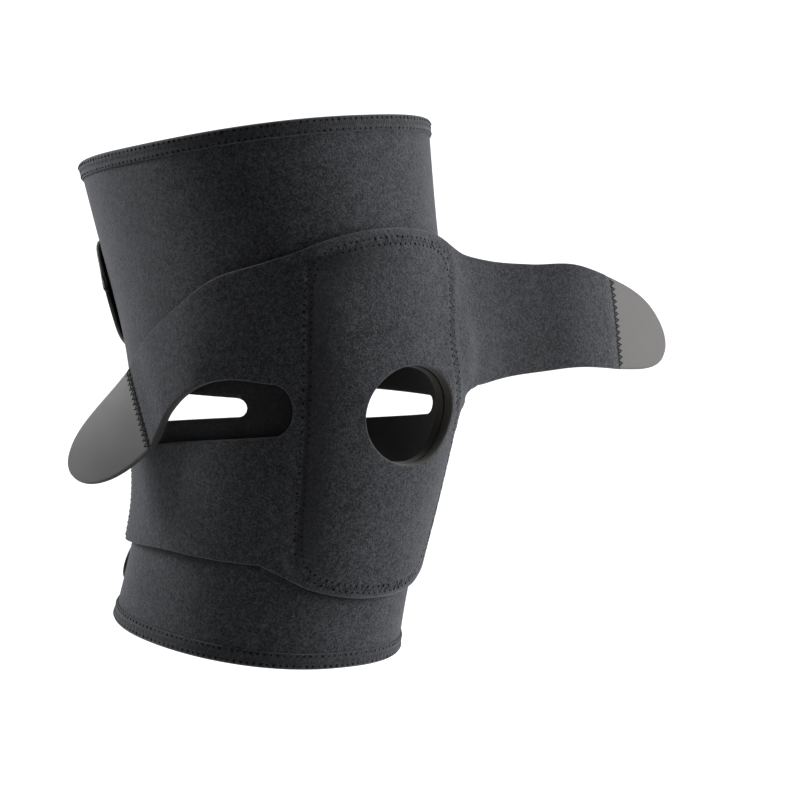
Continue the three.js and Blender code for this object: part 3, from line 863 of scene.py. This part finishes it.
def makeStrapTab(name, strap, side):
    # the strap's own table, carried on past the cloth's end, with its width drawn in to a round tip
    x, across = tabGrid()
    run = tab["start"] + (tab["end"] - tab["start"]) * x
    run, rise = np.broadcast_arrays(run, 0.5 + across / 2 * tongue(x, tab["taper"]))
    middle = onOverlay(onStrap(strap, run, rise))
    return tabSheet(name, middle[::side], run[::side] * tab["mapLength"], across * tab["mapHalf"])


def makeClosure(name, spec):
    # goes on from the right wing's end, comes down to the cloth under it, and its tip lifts in two waves
    lowest = layers["cloth"] + layers["gap"] + layers["tabCloth"] / 2
    atSeam = baseWrap["lapLift"] + halfCloth - lowest
    x, across = tabGrid()
    waves = spec["lobes"] * (0.5 + 0.5 * np.sin(across * lobe["turns"] + lobe["start"]))
    waves = waves * (1 - lobe["lean"] + lobe["lean"] * across)
    off = lowest + atSeam * (1 - x) ** 2 + (spec["tipLift"] + waves) * x ** 3
    around = wingReach + layers["seamGap"] + spec["length"] * x
    along = spec["middle"] + spec["half"] * across * tongue(x, spec["taper"])
    return tabSheet(name, onForm(around, along, off), around, along)


strapTabs = {name: makeStrapTab(name, *strap) for name, strap in straps.items()}
closureTabs = {name: makeClosure(name, spec) for name, spec in closures.items()}
print("tabs made")

# Stitches: zigzag rows of short threads
thread = {"sink": 0.3, "rings": 5, "sides": 6, "endShare": 0.55}
needleHole = {
    "rise": 0.32, "sink": 0.14, "sides": 10, "least": 0.65, "spare": 0.5, "stride": 12.9898, "gain": 437.585,
}
clothStitch = {"radius": 0.22, "arch": -0.14, "hole": 0.76, "thread": greyThread}
tabStitch = {"radius": 0.27, "arch": 0.42, "hole": 0.30, "thread": tabThread}


def zigzag(surface, u, v, seam, closed=False, step=0.05):
    # needle holes at even steps of a path on a surface, to the left and right of it in turn; one short
    # thread arches from each hole to the next
    steps = np.linalg.norm(np.diff(surface(u, v), axis=0), axis=1)
    run = np.concatenate([[0.0], np.cumsum(steps)])
    count = int(round(run[-1] / seam["pitch"] / 2)) * 2
    at = np.linspace(0, run[-1], count + 1)
    u, v = np.interp(at, run, u), np.interp(at, run, v)
    points, up = surface(u, v), normalsOn(surface, u, v)
    along = unit(np.gradient(points, axis=0))
    side = np.cross(up, along)
    if closed:
        side[-1] = side[0]
    aside = side * (seam["width"] / 2 * (1 - 2 * (np.arange(count + 1) % 2)))[:, None]
    overU = (surface(u + step, v) - surface(u - step, v)) / (2 * step)
    overV = (surface(u, v + step) - surface(u, v - step)) / (2 * step)
    uu, uv, vv = ((a * b).sum(-1) for a, b in ((overU, overU), (overU, overV), (overV, overV)))
    au, av = (aside * overU).sum(-1), (aside * overV).sum(-1)
    area = uu * vv - uv * uv
    u, v = u + (au * vv - av * uv) / area, v + (av * uu - au * uv) / area
    points, up = surface(u, v), normalsOn(surface, u, v)
    return points[:-1], points[1:], up[:-1]


def threadTubes(starts, ends, up, side, kind):
    # each thread is a tube along a low arch, thinner at its two ends, where it goes into the cloth
    rings, sides = thread["rings"], thread["sides"]
    starts, ends, up, side = (v[:, None, None, :] for v in (starts, ends, up, side))
    x = np.linspace(0, 1, rings)[None, :, None, None]
    turn = fullTurn(sides)[None, None, :, None]
    height = (kind["arch"] + thread["sink"]) * np.sin(np.pi * x) - thread["sink"]
    thick = kind["radius"] * (thread["endShare"] + (1 - thread["endShare"]) * np.sin(np.pi * x))
    points = starts + (ends - starts) * x + up * height + thick * (side * np.cos(turn) + up * np.sin(turn))
    ids = numbered(*points.shape[:3])
    after = np.roll(ids, -1, axis=2)
    quads = np.stack([ids[:, :-1], after[:, :-1], after[:, 1:], ids[:, 1:]], -1).reshape(-1, 4)
    return points.reshape(-1, 3), [quads, ids[:, 0, ::-1], ids[:, -1]]


def needleDots(places, up, ahead, side, radius):
    # a needle hole is a low cone on the cloth, black as painted shade in the hole; the sizes differ by the
    # fraction of a fast sine
    sides = needleHole["sides"]
    turn = fullTurn(sides)[None, :, None]
    waves = np.sin(np.arange(len(places)) * needleHole["stride"]) * needleHole["gain"]
    uneven = np.abs(np.modf(waves)[0])
    size = radius * (needleHole["least"] + needleHole["spare"] * uneven)[:, None, None]
    places, up, ahead, side = (v[:, None, :] for v in (places, up, ahead, side))
    ring = places - up * needleHole["sink"] + size * (ahead * np.cos(turn) + side * np.sin(turn))
    points = np.concatenate([ring, places + up * needleHole["rise"]], 1)
    ids = numbered(*points.shape[:2])
    ring, tip = ids[:, :-1], np.broadcast_to(ids[:, -1:], (len(ids), sides))
    return points.reshape(-1, 3), np.stack([ring, np.roll(ring, -1, axis=1), tip], -1).reshape(-1, 3)


def threads(name, rows, kind):
    starts, ends, up = (np.concatenate([row[k] for row in rows]) for k in range(3))
    ahead = unit(ends - starts)
    side = unit(np.cross(up, ahead))
    tubes, tubeFaces = threadTubes(starts, ends, up, side, kind)
    dots, dotFaces = needleDots(starts, up, ahead, side, kind["hole"])
    points = np.concatenate([tubes, dots])
    slots = np.repeat([0, 1], [sum(len(part) for part in tubeFaces), len(dotFaces)])
    faces = tubeFaces + [dotFaces + len(tubes)]
    return putMesh(name, points, faces, points[:, :2], [kind["thread"], needleHoleShade], slots)


hem = {"down": 4.3, "pitch": 1.45, "width": 4.3, "endGap": 1.5, "samples": 1500}


def hemRows(edge, upwards):
    # the binding's row shows on both its walls
    u = np.linspace(hem["endGap"] - wingReach, wingReach - hem["endGap"], hem["samples"])
    v = edgeAlong(edge, u) - upwards * hem["down"]

    def wall(side):
        def surface(u, v):
            below = upwards * (edgeAlong(edge, u) - v)
            reach = halfCloth + layers["foldGap"] + layers["tape"] - bindingPull(below)
            return onForm(u, v, wingLift(u) + halfCloth + side * reach)
        return surface

    starts, ends, up = zigzag(wall(-1), u, v, hem)
    return [zigzag(wall(1), u, v, hem), (starts, ends, -up)]


hemThreads = [threads(name + "_hem_threads", hemRows(*edge), clothStitch) for name, edge in hems.items()]


def panelPath():
    # superellipse whose half width and height follow the seam's own sides
    spec = panelSeam
    turn = np.linspace(0, 2 * np.pi, spec["samples"])
    x, y = (np.sign(v) * np.abs(v) ** (2 / spec["power"]) for v in (np.cos(turn), np.sin(turn)))
    top = spec["top"] + spec["topBow"] * x ** 2 + spec["topTilt"] * x
    bottom = spec["bottom"] + spec["bottomBow"] * x ** 2
    along = np.where(y > 0, y * top, -y * bottom)
    return x * seamHalf(along, x > 0), along


def faceOfPanel(u, v):
    return onForm(u, v, overlayOff + halfCloth + panelLift(u, v) + seamSwell(u, v))


panelRow = zigzag(faceOfPanel, *panelPath(), panelSeam, True)
panelThreads = threads("panel_threads", [panelRow], clothStitch)

tabSeam = {
    "pitch": 1.35, "width": 4.2, "run": 1.004, "clear": 0.1, "margin": 0.03, "samples": 200,
    "closureReach": 0.96, "closureStart": 0.2, "closureSamples": 300,
}


def strapSeam(strap, side):
    # across the end of a strap, over the joint between cloth and tab, on the outer face
    height = (layers["tabCloth"] / 2 + tabSeam["clear"]) * side
    rise = np.linspace(tabSeam["margin"], 1 - tabSeam["margin"], tabSeam["samples"])

    def middle(u, v):
        return onOverlay(onStrap(strap, u, v))

    def surface(u, v):
        return middle(u, v) + normalsOn(middle, u, v) * height

    run = np.full_like(rise, tabSeam["run"])
    starts, ends, up = zigzag(surface, run, rise, tabSeam)
    return starts, ends, up * side


def closureSeam(spec):
    reach = spec["half"] * tabSeam["closureReach"]
    v = np.linspace(spec["middle"] - reach, spec["middle"] + reach, tabSeam["closureSamples"])

    def surface(u, v):
        return onForm(u, v, wingLift(u) + (layers["cloth"] + layers["tabCloth"]) / 2 + tabSeam["clear"])

    u = np.full_like(v, wingReach + tabSeam["closureStart"])
    return zigzag(surface, u, v, tabSeam)


tabRows = [strapSeam(*strap) for strap in straps.values()]
tabRows += [closureSeam(spec) for spec in closures.values()]
tabThreads = threads("tab_threads", tabRows, tabStitch)
print("stitches made")

# Pieces attached to the root, with the model's own parts hidden
cloths = {"base_wrap": baseCloth, "front_overlay": overlayCloth}
slots = {"loop_cloth": cloths, "edge_tape": tapes, "hook_tape": {**strapTabs, **closureTabs}}
for slot, pieces in slots.items():
    for node, piece in pieces.items():
        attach(piece, "root")
        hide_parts(node)
for piece in (*hemThreads, panelThreads, tabThreads):
    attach(piece, "root")

# Studio: a round, pale sweep that glows behind the object, and large soft lights
studio = {
    "floor": -0.25, "centre": 0.001, "flatRadius": 3.6, "bend": 1.4, "wall": 3.0, "bendSteps": 14,
    "sides": 96, "tone": 0.42, "rough": 0.9, "nearGlow": 0.07, "farGlow": 0.97, "glow": (-0.3, 0.6),
    "world": 0.055, "aim": (0.02, 0.0, 0.0),
}
# Each light stands at a turn from the camera's own direction and a rise above the level
lamps = {
    "leftSoft": {"turn": -115.0, "rise": 27.0, "distance": 1.6, "size": 0.55, "power": 25.0},
    "rightSoft": {"turn": 90.0, "rise": 10.0, "distance": 1.6, "size": 1.2, "power": 38.0},
    "topSoft": {"turn": 100.0, "rise": 68.0, "distance": 1.9, "size": 1.4, "power": 17.0},
}


def makeStudio(spec):
    # a profile turned about the upright axis: flat floor, a quarter round, then a wall
    turn = np.linspace(0, np.pi / 2, spec["bendSteps"] + 1)
    flat, bend = spec["flatRadius"], spec["bend"]
    radius = np.concatenate([[spec["centre"], flat / 2], flat + bend * np.sin(turn), [flat + bend]])
    height = np.concatenate([[0.0, 0.0], bend * (1 - np.cos(turn)), [spec["wall"]]]) + spec["floor"]
    around = fullTurn(spec["sides"])[:, None]
    points = np.stack([radius * np.cos(around), radius * np.sin(around), height + 0 * around], -1)
    ids = numbered(*points.shape[:2])
    after = np.roll(ids, -1, axis=0)
    quads = np.stack([ids[:, :-1], ids[:, 1:], after[:, 1:], after[:, :-1]], -1).reshape(-1, 4)
    made, wire = newMaterial("paleSweep")
    place = wire.node("TexCoord", {}, {}, "Object")
    dot = {"operation": "DOT_PRODUCT"}
    behind = wire.node("VectorMath", dot, {0: place, 1: -viewBack}, "Value")
    glow = wire.mix(between(wire, behind, *spec["glow"]), grey(spec["nearGlow"]), grey(spec["farGlow"]))
    glowing = {"Emission Color": glow, "Emission Strength": 1.0, "Specular IOR Level": 0.0}
    shade(wire, {"Base Color": grey(spec["tone"]), "Roughness": spec["rough"], **glowing})
    flat = points.reshape(-1, 3) / mm
    return putMesh("studio_sweep", flat, [quads, ids[:, 0][None]], flat[:, :2], [made])


sweep = makeStudio(studio)
for name, spec in lamps.items():
    light = bpy.data.lights.new(name, "AREA")
    light.shape = "DISK"
    light.size = spec["size"]
    light.energy = spec["power"]
    lamp = bpy.data.objects.new(name, light)
    turn, rise = math.radians(spec["turn"]), math.radians(spec["rise"])
    level = viewBack * math.cos(turn) + viewRight * math.sin(turn)
    lamp.visible_camera = False
    at = (level * math.cos(rise) + viewUp * math.sin(rise)) * spec["distance"]
    putAimed(lamp, at, Vector(studio["aim"]))
world = bpy.data.worlds.new("softRoom")
world.use_nodes = True
background = world.node_tree.nodes["Background"].inputs
background["Color"].default_value = grey(1.0)
background["Strength"].default_value = studio["world"]
bpy.context.scene.world = world
bpy.context.scene.view_settings.view_transform = "Standard"
print("studio made")
